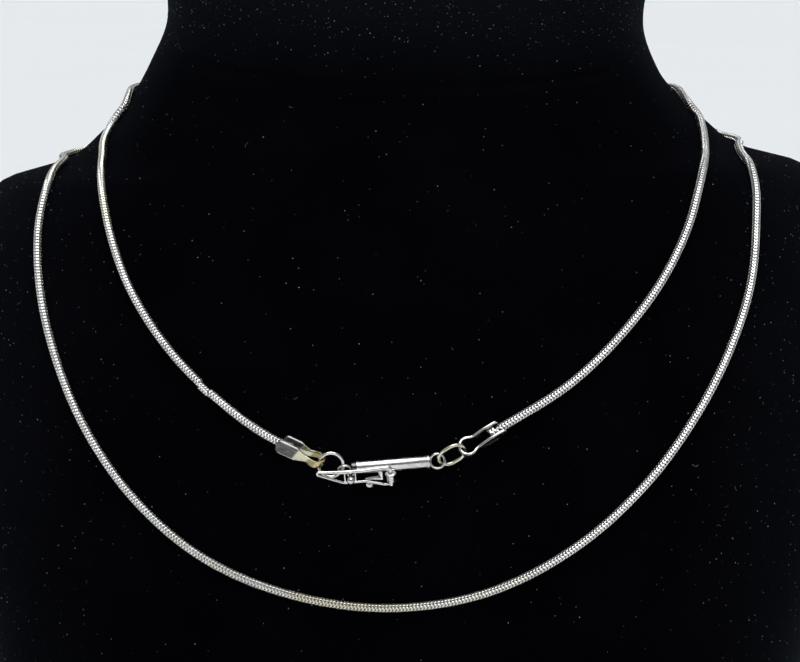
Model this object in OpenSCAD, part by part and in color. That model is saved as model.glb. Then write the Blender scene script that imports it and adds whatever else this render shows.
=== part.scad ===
// Long round snake chain wound twice round a velvet neck bust.
// The chain closes at the front of its upper loop with a barrel clasp and a
// figure-of-eight safety catch. Millimetres, +Z up, the front of the bust
// faces -Y, and the origin is the centre of the flat base.

/* [Neck bust] */
// Height of the bust
bust_h = 220; // [205:1:240]
// Width across the shoulders
bust_w = 216; // [200:1:235]
// Depth of the chest in front of the neck's axis
chest_depth = 80; // [72:1:92]
// Depth of the back behind the neck's axis
back_depth = 48; // [42:1:58]
// Rounding of the top and bottom edges
edge_r = 5; // [2:0.5:8]

/* [Chain] */
// Diameter of the snake chain
chain_d = 1.95; // [1.6:0.05:2.3]
// Gap between the chain and the velvet
chain_gap = 0.55; // [0.4:0.05:0.8]

/* [End caps] */
// Length from the centre of the eye to the end of the longer plate
cap_len = 9; // [8.4:0.1:10]
// How much shorter the other plate is
cap_step = 0.7; // [0:0.1:1.2]
// Width of the plates that hold the chain
cap_w = 3.3; // [2.8:0.1:4]
// Width of the strap where it bends round the eye
cap_eye_w = 1.6; // [1.2:0.1:2]
// Thickness of the sheet strap
strap_t = 0.5; // [0.4:0.05:0.6]
// Inside diameter of the eye
cap_eye_d = 3.4; // [3.2:0.1:3.8]
// Length of chain held between the plates
cap_grip = 3.4; // [2:0.1:3.6]

/* [Rings] */
// Outside diameter of the round jump ring
ring_od = 6.15; // [5.9:0.05:6.6]
// Wire of the round jump ring
ring_wire = 0.76; // [0.6:0.01:0.8]
// Outside length of the oval link
link_len = 7; // [6.8:0.1:7.4]
// Outside width of the oval link
link_w = 5.8; // [5.4:0.1:6.2]
// Wire of the oval link
link_wire = 0.82; // [0.6:0.01:0.9]

/* [Barrel clasp] */
// Outside diameter of the barrel
barrel_d = 2.85; // [2.7:0.05:3.1]
// Length of the barrel
barrel_len = 16; // [14:0.1:19]
// Wall of the barrel
barrel_wall = 0.32; // [0.25:0.01:0.4]
// Outside diameter of the loop on the barrel's closed end
barrel_loop_od = 3.7; // [3.5:0.1:4]
// Outside diameter of the loop on the tongue
tongue_loop_od = 3.4; // [3.2:0.1:3.8]
// Wire of the two soldered loops
loop_wire = 0.55; // [0.45:0.01:0.65]
// Diameter of the ball on the press lever
press_ball_d = 1.9; // [1.5:0.1:2]

/* [Safety catch] */
// Length from the hinge to the tip of the catch
catch_len = 16.25; // [15:0.05:18]
// Distance between the two arms at the waist, wire centre to centre
catch_w = 2.66; // [2.64:0.01:2.9]
// Wire of the upper arm
catch_wire = 0.88; // [0.76:0.01:0.9]
// Wire of the lower arm
catch_thin_wire = 0.62; // [0.54:0.01:0.66]
// Tilt of the catch's plane towards the velvet
catch_tilt = 30; // [26:1:34]
// Diameter of the ball that the catch snaps over
stud_ball_d = 1.74; // [1.5:0.01:1.76]
// Outside diameter of the hinge knuckle
knuckle_d = 2.05; // [1.8:0.05:2.1]
// Length of the hinge knuckle
knuckle_len = 2.1; // [2:0.1:2.4]

/* [Hidden] */
$fn = 40;

// Colours
velvet = [0.03, 0.03, 0.035];
silver = [0.80, 0.80, 0.78];
bright_silver = [0.88, 0.88, 0.87];
warm_silver = [0.80, 0.75, 0.60];

// Sections of the bust from base to top. Lengths are shares: height of
// bust_h, half width of bust_w / 2, front of chest_depth and back of
// back_depth. Squareness is the power of the rounded outline, and lean is
// how much a section rises to the right for each unit of width.
HEIGHT = 0;
HALF_WIDTH = 1;
FRONT = 2;
BACK = 3;
SQUARENESS = 4;
LEAN = 5;
sections = [
    // height, half width, front, back, squareness, lean
    [0.000, 0.800, 0.900, 0.860, 2.6, 0.000],
    [0.120, 0.880, 0.960, 0.900, 2.5, 0.000],
    [0.280, 0.960, 1.000, 0.930, 2.4, 0.010],
    [0.420, 1.000, 0.970, 0.930, 2.3, 0.020],
    [0.540, 1.000, 0.895, 0.900, 2.2, 0.030],
    [0.630, 0.960, 0.810, 0.860, 2.1, 0.038],
    [0.685, 0.882, 0.745, 0.840, 2.0, 0.038],
    [0.706, 0.742, 0.722, 0.845, 2.0, 0.038],
    [0.735, 0.664, 0.690, 0.866, 2.0, 0.036],
    [0.765, 0.605, 0.650, 0.900, 2.0, 0.025],
    [0.800, 0.558, 0.625, 0.960, 2.0, 0.000],
    [0.850, 0.522, 0.610, 1.000, 2.0, 0.000],
    [0.920, 0.545, 0.630, 1.040, 2.0, 0.000],
    [1.000, 0.590, 0.670, 1.100, 2.0, 0.000],
];
bust_sides = 48;
bust_steps = 3;
edge_steps = 3;

// Route of the chain on the bust: from the right end cap up, behind the neck,
// down to the lower loop, up, behind the neck again and down to the left end
// cap. Angle is in degrees from the front, to the right, height is a share of
// bust_h, and lift is how far the chain stands off where it crosses itself.
route = [
    // angle, height, lift
    [28, 0.490, 0],
    [37, 0.5375, 0],
    [44.9, 0.5881, 0],
    [51.9, 0.6415, 0],
    [55.4, 0.6682, 0],
    [59.6, 0.690, 0.05],
    [67.6, 0.7069, 0.05],
    [74.4, 0.727, 0],
    [79.5, 0.7415, 0],
    [81.3, 0.7515, 0],
    [84, 0.760, 0],
    [89, 0.767, 0],
    [104, 0.771, 0],
    [118, 0.772, 0],
    [145, 0.766, 0],
    [166, 0.757, 0],
    [180, 0.746, 0],
    [194, 0.735, 0],
    [215, 0.729, 0],
    [250, 0.724, 0.1],
    [255.8, 0.7208, 0.1],
    [261, 0.7175, 0.1],
    [261.6, 0.7115, 0],
    [265, 0.7065, 0],
    [272, 0.705, 0],
    [279.5, 0.7035, 0],
    [286.1, 0.6957, 0.15],
    [291.5, 0.6827, 0.15],
    [295.3, 0.6452, 0],
    [300, 0.5849, 0],
    [306, 0.5098, 0],
    [313.1, 0.4342, 0],
    [321, 0.3701, 0],
    [331, 0.3167, 0],
    [345, 0.281, 0],
    [360, 0.271, 0],
    [374, 0.286, 0],
    [388, 0.3334, 0],
    [398, 0.392, 0],
    [405.9, 0.4554, 0],
    [412, 0.5131, 0],
    [417.9, 0.579, 0],
    [422.2, 0.6351, 0],
    [425.4, 0.6677, 0.15],
    [428.1, 0.6869, 0.15],
    [433.1, 0.6978, 0],
    [439.5, 0.7042, 0],
    [446, 0.707, 0],
    [453, 0.7085, 0],
    [457.3, 0.713, 0],
    [458.8, 0.7205, 0],
    [468, 0.732, 0],
    [488, 0.740, 0],
    [526, 0.740, 0.6],
    [540, 0.747, 2.4],
    [554, 0.758, 0.6],
    [575, 0.768, 0],
    [600, 0.774, 0],
    [615, 0.774, 0],
    [628, 0.7725, 0],
    [637, 0.767, 0],
    [640, 0.758, 0],
    [641.1, 0.7446, 0],
    [644.9, 0.7291, 0],
    [651.5, 0.710, 0],
    [658.4, 0.6948, 0],
    [662.6, 0.6786, 0],
    [667.1, 0.6452, 0],
    [673.9, 0.5866, 0],
    [681.9, 0.5278, 0],
    [691, 0.476, 0],
];
chain_rings = 140;
chain_sides = 8;

// Where the clasp lies: distance of the barrel's mouth from the middle of the
// chest, its share of bust_h, how far the barrel stands off the velvet, and
// how far its axis is turned up to the right
clasp_x = -8.9;
clasp_share = 0.4102;
clasp_lift = 0.7;
clasp_turn = 5.7;

// Far ends of the end caps: distance across the chest, share of bust_h and
// lift of the held chain off its usual place
cap_right_far = [23.27, 0.4504, 0.7];
cap_left_far = [-26.05, 0.4351, 1.1];
cap_left_roll = 55;
cap_right_roll = -18;

// Clearances and overlaps of soldered joints
solder = 0.12;
catch_clear = 0.12;
pivot_clear = 0.04;
fit_clear = 0.12;

// Frames and vectors
function unit(v) = v / norm(v);
function frame_z(o, x_hint, z_dir) =
    let (z = unit(z_dir), y = unit(cross(z, x_hint)), x = cross(y, z))
    [[x.x, y.x, z.x, o.x], [x.y, y.y, z.y, o.y], [x.z, y.z, z.z, o.z], [0, 0, 0, 1]];
function frame_x(o, x_dir, z_hint) =
    let (x = unit(x_dir), y = unit(cross(z_hint, x)), z = cross(x, y))
    [[x.x, y.x, z.x, o.x], [x.y, y.y, z.y, o.y], [x.z, y.z, z.z, o.z], [0, 0, 0, 1]];
function turned_x(a) = [[1, 0, 0, 0], [0, cos(a), -sin(a), 0], [0, sin(a), cos(a), 0], [0, 0, 0, 1]];
function turned_z(a) = [[cos(a), -sin(a), 0, 0], [sin(a), cos(a), 0, 0], [0, 0, 1, 0], [0, 0, 0, 1]];
function at(frame, v) = let (p = frame * [v.x, v.y, v.z, 1]) [p.x, p.y, p.z];

// Surface of the bust: every column of the sections is blended smoothly
last_row = len(sections) - 1;
function row_slope(i, col) =
    let (a = max(i - 1, 0), b = min(i + 1, last_row))
    (sections[b][col] - sections[a][col]) / (sections[b][HEIGHT] - sections[a][HEIGHT]);
function row_below(s) = max([for (i = [0:last_row - 1]) if (i == 0 || sections[i][HEIGHT] <= s) i]);
function blended(s, col) =
    let (
        i = row_below(s),
        h = sections[i + 1][HEIGHT] - sections[i][HEIGHT],
        t = (s - sections[i][HEIGHT]) / h
    )
    (2 * t^3 - 3 * t^2 + 1) * sections[i][col]
    + (t^3 - 2 * t^2 + t) * h * row_slope(i, col)
    + (3 * t^2 - 2 * t^3) * sections[i + 1][col]
    + (t^3 - t^2) * h * row_slope(i + 1, col);
base_middle = (blended(0, FRONT) * chest_depth - blended(0, BACK) * back_depth) / 2;
function bust_radius(angle, s, inset = 0) =
    let (
        a = blended(s, HALF_WIDTH) * bust_w / 2 - inset,
        b = (cos(angle) > 0 ? blended(s, FRONT) * chest_depth : blended(s, BACK) * back_depth) - inset,
        n = blended(s, SQUARENESS)
    )
    pow(pow(abs(sin(angle)) / a, n) + pow(abs(cos(angle)) / b, n), -1 / n);
function bust_point(angle, s, inset = 0) =
    let (r = bust_radius(angle, s, inset), x = r * sin(angle))
    [x, base_middle - r * cos(angle), s * bust_h + blended(s, LEAN) * x];
function bust_normal(angle, s) =
    unit(cross(
        bust_point(angle + 0.1, s) - bust_point(angle - 0.1, s),
        bust_point(angle, s + 0.0005) - bust_point(angle, s - 0.0005)
    ));
function on_bust(angle, s, off) = bust_point(angle, s) + off * bust_normal(angle, s);
function angle_at(x, s, tries = 8) =
    asin(x / (tries == 0 ? blended(s, FRONT) * chest_depth : bust_radius(angle_at(x, s, tries - 1), s)));

// The clasp's own frame: origin at the centre of the barrel's mouth, X along
// the barrel to its closed end, Y up the chest and Z out of it
barrel_r = barrel_d / 2;
clasp_frame =
    frame_z(
        on_bust(angle_at(clasp_x, clasp_share), clasp_share, clasp_lift + barrel_r),
        [1, 0, 0],
        bust_normal(0, clasp_share)
    )
    * turned_z(clasp_turn);

// Barrel and tongue, along the barrel's axis
collar_grow = 0.08;
collar_len = 0.45;
bore_r = barrel_r - barrel_wall;
end_wall = 0.6;
barrel_loop_r = (barrel_loop_od - loop_wire) / 2;
barrel_loop_x = barrel_len + barrel_loop_od / 2 - solder;
tongue_cap_len = 0.95;
tongue_cap_r = barrel_r - 0.05;
tongue_loop_r = (tongue_loop_od - loop_wire) / 2;
tongue_loop_x = -fit_clear - tongue_cap_len - tongue_loop_od / 2 + solder;
tongue_loop_tilt = -26;

// Press lever: its stem passes through a slot in the barrel's lower side
lever_t = 0.45;
lever_z = -0.2;
stem_x = 5.05;
stem_w = 0.9;
slot_end = stem_x + stem_w / 2 + fit_clear;
slot_w = lever_t + 2 * fit_clear;
lever_reach = 1.1;
lever_drop = barrel_r + lever_reach;
lever_tip_x = 1.65;
lever_tip_w = 0.35;
lever_w = 1.1;
press_ball_x = 2.5;
press_ball_below = 2.4;
press_ball_back = 0.86;
press_ball = [press_ball_x, -barrel_r - press_ball_below, -press_ball_back];
blade_t = 0.25;
blade_w = 1.25;
blade_y = bore_r - 0.55;
blade_len = 11;

// Safety catch: its plane is catch_off from the barrel's axis. Along is
// measured from the hinge towards the tongue, and rise is measured up the
// hinge's axis from the middle of the knuckle.
catch_off = barrel_r + collar_grow + catch_wire / 2 + catch_clear;
hinge_up = [0, cos(catch_tilt), sin(catch_tilt)];
catch_out = [0, -sin(catch_tilt), cos(catch_tilt)];
knuckle_x = 7.3;
knuckle_gap = 0.7;
knuckle_drop = knuckle_len / 2 + knuckle_gap;
collar_wire = 0.4;
strut_wire = 0.7;
strut_low = 0.35;
strut_in = 0.75;
hinge = [knuckle_x, 0, 0] + catch_off * catch_out - knuckle_drop * hinge_up;
catch_frame = frame_x(hinge, [-1, 0, 0], -catch_out);
pin_start = 0.35;
arm_step = 0.3;
bend_r = 1.2;
foot_start = 0.15;
foot_end = 1.5;
pin_d = catch_wire - 0.08;
low_rise = -0.63;
high_rise = low_rise + catch_w;
bottom_rise = -knuckle_len / 2 - 0.45 - catch_thin_wire / 2;
bar_wire = 0.4;
tip_wire = 0.56;
tip_r = 0.3;
tip_rise = high_rise + 0.5;
tip_gap = 0.68;
waist_start = 5.6;

// Ball stud on the tongue, in the middle of the catch's front opening
stud_along = knuckle_x + 1.45;
stud_rise = (high_rise - catch_wire / 2 + low_rise + catch_thin_wire / 2) / 2;
stud_reach = 1.45;
stud_wire = 0.9;
stud_pad_r = 0.8;
stud_pad_t = 0.8;
ball_clear = 0.08;
opening_along = norm([stud_along, stud_reach]);
opening_half = stud_ball_d / 2 + ball_clear + bar_wire / 2;

// Rings, in the clasp's frame
ring_r = (ring_od - ring_wire) / 2;
ring_tilt = 17;
ring_place = [tongue_loop_x - 0.2 - ring_r, 1.05, 0.5];
link_r = (link_w - link_wire) / 2;
link_straight = link_len - link_w;
link_reach = link_r + link_straight / 2;
link_turn = 26;
link_pitch = 8;
link_tilt = 48;
link_way = link_reach * [cos(link_turn), sin(link_turn), 0];
link_in_loop = [0.5, -0.25, 0.35];
link_place = [barrel_loop_x, 0, 0] + link_in_loop + link_way;

// End caps: centre of the eye and frame towards the held chain
cap_eye_r = (cap_eye_d + strap_t) / 2;
plate_y = chain_d / 2 + fit_clear + strap_t / 2;
neck_r = 2;
neck_y = plate_y + neck_r;
neck_x = sqrt((cap_eye_r + neck_r)^2 - neck_y^2);
eye_in_link = [0.95, 0.08, -0.12];
eye_in_ring = [-3.3, 1.58, 0.15];
cap_right_eye = at(clasp_frame, link_place + link_way + eye_in_link);
cap_left_eye = at(clasp_frame, ring_place + eye_in_ring);
function cap_frame(eye, far, roll) =
    let (
        a = angle_at(far[0], far[1]),
        end = on_bust(a, far[1], far[2] + chain_d / 2 + chain_gap)
    )
    frame_x(eye, end - eye, bust_normal(a, far[1])) * turned_x(roll);
cap_right_frame = cap_frame(cap_right_eye, cap_right_far, cap_right_roll);
cap_left_frame = cap_frame(cap_left_eye, cap_left_far, cap_left_roll);

// Smooth line of the chain: out of the right end cap, along the route and
// into the left end cap
cap_in = cap_len - cap_grip;
cap_out = cap_len + 0.4;
chain_points = concat(
    [at(cap_right_frame, [cap_in, 0, 0]), at(cap_right_frame, [cap_out, 0, 0])],
    [for (p = route) on_bust(p[0], p[1], p[2] + chain_d / 2 + chain_gap)],
    [at(cap_left_frame, [cap_out, 0, 0]), at(cap_left_frame, [cap_in, 0, 0])]
);
last_point = len(chain_points) - 1;
chain_spans = [for (i = [0:last_point - 1]) norm(chain_points[i + 1] - chain_points[i])];
chain_marks = [
    for (i = 0, s = 0; i <= last_point; s = s + (i < last_point ? chain_spans[i] : 0), i = i + 1) s
];
function span_at(d) = max([for (i = [0:last_point - 1]) if (i == 0 || chain_marks[i] <= d) i]);
function point_way(i) =
    i == 0 || i == last_point
    ? let (k = min(i, last_point - 1)) (chain_points[k + 1] - chain_points[k]) / chain_spans[k]
    : let (
        a = (chain_points[i] - chain_points[i - 1]) / chain_spans[i - 1],
        b = (chain_points[i + 1] - chain_points[i]) / chain_spans[i]
    )
    (a * chain_spans[i] + b * chain_spans[i - 1]) / (chain_spans[i] + chain_spans[i - 1]);
function chain_at(d) =
    let (i = span_at(d), h = chain_spans[i], t = (d - chain_marks[i]) / h)
    (2 * t^3 - 3 * t^2 + 1) * chain_points[i]
    + (t^3 - 2 * t^2 + t) * h * point_way(i)
    + (3 * t^2 - 2 * t^3) * chain_points[i + 1]
    + (t^3 - t^2) * h * point_way(i + 1);
function chain_way(d) =
    unit(chain_at(min(d + 0.5, chain_marks[last_point])) - chain_at(max(d - 0.5, 0)));

// Closed skin over rings of points, each with the same number of sides
module skin(points, sides) {
    rings = len(points) / sides;
    walls = [
        for (j = [0:rings - 2], k = [0:sides - 1])
            let (a = j * sides + k, b = j * sides + (k + 1) % sides)
            each [[a, a + sides, b], [b, a + sides, b + sides]]
    ];
    bottom = [for (k = [0:sides - 1]) k];
    top = [for (k = [sides - 1:-1:0]) (rings - 1) * sides + k];
    polyhedron(points, concat(walls, [bottom, top]), convexity = 8);
}

// Straight wire between two points
module rod(a, b, d) {
    v = b - a;
    translate(a)
        rotate([0, acos(v.z / norm(v)), atan2(v.y, v.x)])
            cylinder(d = d, h = norm(v));
}

// Closed ring of wire
module wire_ring(r, d) {
    rotate_extrude() translate([r, 0]) circle(d = d);
}

// Wire bent in one plane: each row is a corner with its bending radius and
// the wire's diameter there
module bent_wire(rows) {
    bend_step = 30;
    sides = 12;
    last = len(rows) - 1;
    spots = [for (row = rows) [row[0], row[1]]];
    ways = [for (i = [0:last - 1]) unit(spots[i + 1] - spots[i])];
    bends = [
        for (i = [1:last - 1])
            let (
                turn = acos(ways[i - 1] * ways[i]),
                left = [-ways[i - 1].y, ways[i - 1].x],
                side = left * ways[i] > 0 ? 1 : -1,
                r = rows[i][2],
                centre = spots[i] - r * tan(turn / 2) * ways[i - 1] + side * r * left,
                steps = ceil(turn / bend_step)
            )
            for (k = [0:steps])
                let (
                    a = k * turn / steps,
                    p = centre + r * (sin(a) * ways[i - 1] - side * cos(a) * left)
                )
                [p.x, p.y, rows[i][3]]
    ];
    function end_spot(i) = [spots[i].x, spots[i].y, rows[i][3]];
    line = concat([end_spot(0)], bends, [end_spot(last)]);
    end = len(line) - 1;
    function flat(p) = [p.x, p.y, 0];
    function stretch(i) = unit(flat(line[i + 1] - line[i]));
    points = [
        for (i = [0:end])
            let (way = unit(stretch(min(i, end - 1)) + stretch(max(i - 1, 0))))
            for (k = [0:sides - 1])
                let (a = (k + 0.5) * 360 / sides)
                flat(line[i]) + line[i][2] / 2 * [-way.y * cos(a), way.x * cos(a), sin(a)]
    ];
    skin(points, sides);
}

// Bust: one closed form through all sections, with rounded edges
module neck_bust() {
    edge = [for (k = [0:edge_steps]) let (a = k * 90 / edge_steps) [1 - cos(a), 1 - sin(a)] * edge_r];
    low = [for (e = edge) [e[0] / bust_h, e[1]]];
    high = [for (k = [edge_steps:-1:0]) [1 - low[k][0], low[k][1]]];
    middle = [
        for (i = [0:last_row - 1], k = [0:bust_steps - 1])
            let (s = sections[i][HEIGHT] + k / bust_steps * (sections[i + 1][HEIGHT] - sections[i][HEIGHT]))
            if (s > low[edge_steps][0] + 0.01 && s < high[0][0] - 0.01) [s, 0]
    ];
    points = [
        for (level = concat(low, middle, high), k = [0:bust_sides - 1])
            bust_point(k * 360 / bust_sides, level[0], level[1])
    ];
    color(velvet) skin(points, bust_sides);
}

// Chain: a tube of the chain's outside size along its whole length
module chain() {
    ring_r = chain_d / 2 / cos(180 / chain_sides);
    step = (chain_marks[last_point - 1] - chain_marks[1]) / (chain_rings - 3);
    points = [
        for (j = [0:chain_rings - 1])
            let (
                d = j == 0 ? 0
                    : j == chain_rings - 1 ? chain_marks[last_point]
                    : chain_marks[1] + (j - 1) * step,
                p = chain_at(d),
                way = chain_way(d),
                u = unit(cross([p.x, p.y - base_middle, 0], way)),
                v = cross(way, u)
            )
            for (k = [0:chain_sides - 1])
                let (a = (k + 0.5) * 360 / chain_sides)
                p + ring_r * (cos(a) * u + sin(a) * v)
    ];
    color(silver) skin(points, chain_sides);
}

// Points on an arc
function arc(centre, r, from, to, steps) =
    [for (k = [0:steps]) let (a = from + k * (to - from) / steps) centre + r * [cos(a), sin(a)]];

// End cap: a strip bent round an eye, its two plates closed on the chain.
// X runs from the eye to the chain, Y from plate to plate, Z across the strip.
module end_cap() {
    touch = atan2(neck_y, neck_x);
    function half_line(out) = concat(
        arc([0, 0], cap_eye_r + out, 180, touch, 10),
        arc([neck_x, neck_y], neck_r - out, 180 + touch, 270, 3),
        [[cap_len, plate_y + out]]
    );
    function reversed(list) = [for (i = [len(list) - 1:-1:0]) list[i]];
    function flipped(list) = [for (i = [1:len(list) - 1]) [list[i].x, -list[i].y]];
    outer = half_line(strap_t / 2);
    inner = half_line(-strap_t / 2);
    module bent_strip() {
        linear_extrude(height = cap_w, center = true)
            polygon(concat(reversed(outer), flipped(outer), reversed(flipped(inner)), inner));
    }
    module plan(length) {
        corner = cap_w / 3;
        widens = 2.3 * cap_eye_r;
        polygon([
            [-2 * cap_eye_r, -cap_eye_w / 2], [cap_eye_r, -cap_eye_w / 2], [widens, -cap_w / 2],
            [length - corner, -cap_w / 2], [length - corner, cap_w / 2], [widens, cap_w / 2],
            [cap_eye_r, cap_eye_w / 2], [-2 * cap_eye_r, cap_eye_w / 2]
        ]);
        translate([length - 2 * corner, corner - cap_w / 2]) square([2 * corner, cap_w - 2 * corner]);
        for (side = [-1, 1])
            translate([length - corner, side * (cap_w / 2 - corner)]) circle(r = corner);
    }
    module plan_block(length, side) {
        depth = 2 * cap_eye_r;
        overlap = strap_t / 2;
        translate([0, side > 0 ? depth : overlap, 0])
            rotate([90, 0, 0])
                linear_extrude(height = depth + overlap) plan(length);
    }
    intersection() {
        bent_strip();
        union() {
            plan_block(cap_len, -1);
            plan_block(cap_len - cap_step, 1);
        }
    }
}
module end_cap_left() {
    color(bright_silver) multmatrix(cap_left_frame) mirror([0, 1, 0]) end_cap();
}
module end_cap_right() {
    color(bright_silver) multmatrix(cap_right_frame) end_cap();
}

// Round ring through the tongue's loop and the left end cap's eye
module jump_ring() {
    color(silver)
        multmatrix(clasp_frame)
            translate(ring_place)
                rotate([ring_tilt, 0, 0])
                    wire_ring(ring_r, ring_wire);
}

// Oval link through the barrel's loop and the right end cap's eye
module link_ring() {
    color(warm_silver)
        multmatrix(clasp_frame)
            translate(link_place)
                rotate([0, -link_pitch, link_turn])
                    rotate([link_tilt, 0, 0]) {
                        for (end = [0, 180])
                            rotate([0, 0, end - 90])
                                translate([0, link_straight / 2, 0])
                                    rotate_extrude(angle = 180)
                                        translate([link_r, 0]) circle(d = link_wire);
                        for (y = [-link_r, link_r])
                            rod([-link_straight / 2, y, 0], [link_straight / 2, y, 0], link_wire);
                    }
}

// Barrel: a slotted tube with two collars, a closed end with a soldered loop
// and the knuckle of the safety catch soldered below it
module clasp_barrel() {
    color(bright_silver) multmatrix(clasp_frame) difference() {
        union() {
            rotate([0, 90, 0]) cylinder(r = barrel_r, h = barrel_len);
            for (x = [0, barrel_len - collar_len])
                translate([x, 0, 0])
                    rotate([0, 90, 0]) cylinder(r = barrel_r + collar_grow, h = collar_len);
            translate([barrel_loop_x, 0, 0]) wire_ring(barrel_loop_r, loop_wire);
            multmatrix(catch_frame) {
                rotate([90, 0, 0]) cylinder(d = knuckle_d, h = knuckle_len, center = true);
                translate([0, (knuckle_len - collar_wire) / 2 - 0.1, 0])
                    rotate([90, 0, 0]) wire_ring(knuckle_d / 2, collar_wire);
                rod(
                    [0, strut_low, strut_wire],
                    [0, knuckle_drop - knuckle_gap, catch_off - strut_in],
                    strut_wire
                );
            }
        }
        translate([-1, 0, 0])
            rotate([0, 90, 0]) cylinder(r = bore_r, h = barrel_len - end_wall + 1);
        translate([-1, -barrel_d, lever_z - slot_w / 2]) cube([slot_end + 1, barrel_d, slot_w]);
        multmatrix(catch_frame)
            rotate([90, 0, 0]) cylinder(d = pin_d + 2 * pivot_clear, h = 2 * knuckle_len, center = true);
    }
}

// Tongue: end disc with a soldered loop, spring blade folded back inside the
// barrel, press lever with its ball, and the ball stud of the safety catch
module clasp_tongue() {
    color(bright_silver) multmatrix(clasp_frame) {
        translate([-fit_clear - tongue_cap_len, 0, 0])
            rotate([0, 90, 0]) cylinder(r = tongue_cap_r, h = tongue_cap_len);
        translate([tongue_loop_x, 0, 0])
            rotate([90 + tongue_loop_tilt, 0, 0]) wire_ring(tongue_loop_r, loop_wire);
        translate([-fit_clear - solder, blade_y - blade_t / 2, -blade_w / 2])
            cube([blade_len + fit_clear + solder, blade_t, blade_w]);
        translate([blade_len, 0, 0])
            rotate([0, 0, -90])
                rotate_extrude(angle = 180)
                    translate([blade_y - blade_t / 2, -blade_w / 2]) square([blade_t, blade_w]);
        translate([stem_x - stem_w / 2, -blade_y - blade_t / 2, -blade_w / 2])
            cube([blade_len - stem_x + stem_w / 2, blade_t, blade_w]);
        translate([0, -lever_drop, lever_z - lever_t / 2])
            linear_extrude(height = lever_t) {
                translate([stem_x - stem_w / 2, 0]) square([stem_w, lever_drop - blade_y]);
                polygon([
                    [lever_tip_x, -lever_tip_w / 2], [stem_x + stem_w / 2, -lever_w / 2],
                    [stem_x + stem_w / 2, lever_w / 2], [lever_tip_x, lever_tip_w / 2]
                ]);
            }
        translate(press_ball) sphere(d = press_ball_d);
        rod([press_ball.x, -lever_drop, lever_z], press_ball, press_ball_d / 3);
        multmatrix(catch_frame) translate([stud_along, stud_rise, 0]) {
            translate([0, 0, -stud_reach]) cylinder(d = stud_wire, h = stud_reach + catch_off);
            translate([0, 0, -stud_reach]) sphere(d = stud_ball_d);
            translate([0, 0, catch_off]) cylinder(r = stud_pad_r, h = stud_pad_t, center = true);
        }
    }
}

// Safety catch: two arms bent from the hinge pins to a common tip, with two
// cross bars that make the front opening of the figure of eight
module safety_catch() {
    tip_x = catch_len - tip_wire / 2;
    color(bright_silver) multmatrix(clasp_frame) multmatrix(catch_frame) {
        bent_wire([
            [0, knuckle_len / 2 + fit_clear, 0, catch_wire],
            [0, high_rise + arm_step, strut_in, catch_wire],
            [waist_start / 2, high_rise + 0.2, 2, catch_wire],
            [waist_start, high_rise, 3, catch_wire],
            [opening_along + opening_half + arm_step, high_rise, 4, catch_wire],
            [tip_x, tip_rise, tip_r, tip_wire],
            [tip_x, tip_rise - tip_gap, tip_r, tip_wire],
            [opening_along + opening_half + arm_step, low_rise, 2, catch_thin_wire],
            [waist_start, low_rise, 2, catch_thin_wire],
            [foot_end, bottom_rise, bend_r, catch_thin_wire],
            [foot_start, bottom_rise, 0, catch_thin_wire]
        ]);
        translate([0, pin_start, 0])
            rotate([-90, 0, 0]) cylinder(d = pin_d, h = knuckle_len / 2 + 4 * fit_clear - pin_start);
        translate([0, bottom_rise - catch_thin_wire / 2, 0])
            rotate([-90, 0, 0]) cylinder(d = pin_d, h = catch_thin_wire / 2 - bottom_rise - pin_start);
        for (side = [-1, 1])
            translate([opening_along + side * opening_half, low_rise, 0])
                rotate([-90, 0, 0]) cylinder(d = bar_wire, h = catch_w);
    }
}

neck_bust();
chain();
end_cap_left();
end_cap_right();
jump_ring();
link_ring();
clasp_barrel();
clasp_tongue();
safety_catch();
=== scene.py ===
"""A long round snake chain wound twice round a black velvet neck bust.

Shapes are worked out in millimetres, as in the part's source, and every
finished mesh is scaled to metres as it is placed. The front of the bust faces
-Y, and the origin is the centre of its flat base.
"""

import math
import random

import bmesh
import bpy
from mathutils import Matrix, Vector


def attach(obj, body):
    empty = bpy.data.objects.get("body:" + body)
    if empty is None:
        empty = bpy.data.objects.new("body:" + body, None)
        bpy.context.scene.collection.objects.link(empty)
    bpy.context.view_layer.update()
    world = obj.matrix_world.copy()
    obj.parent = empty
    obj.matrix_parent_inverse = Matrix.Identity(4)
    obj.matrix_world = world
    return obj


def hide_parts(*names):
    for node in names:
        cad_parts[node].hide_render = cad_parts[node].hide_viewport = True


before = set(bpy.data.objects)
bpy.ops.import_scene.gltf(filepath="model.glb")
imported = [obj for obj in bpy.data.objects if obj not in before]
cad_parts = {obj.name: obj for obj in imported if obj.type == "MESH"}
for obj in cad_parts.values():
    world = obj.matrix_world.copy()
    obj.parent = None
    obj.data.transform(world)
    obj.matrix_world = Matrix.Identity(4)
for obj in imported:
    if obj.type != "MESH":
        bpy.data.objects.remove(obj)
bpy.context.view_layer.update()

# ---- Studio -----------------------------------------------------------------
# A pale seamless floor under a pale sky, with one soft box in front, one at the
# left and a broad top light. The camera looks down by six degrees and is rolled
# by one, and its long lens gives the photograph's frame of 800 by 662.
MM = 0.001
VIEW_TARGET = Vector((0, -39.64, 118)) * MM
VIEW_DISTANCE = 800 * MM
VIEW_DOWN = math.radians(6)
VIEW_ROLL = math.radians(1)
LENS = 160
FLOOR_SIZE = 60
SKY_COLOUR = (0.86, 0.90, 0.94, 1)
DARK_SKY = (0.05, 0.052, 0.055, 1)

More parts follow.
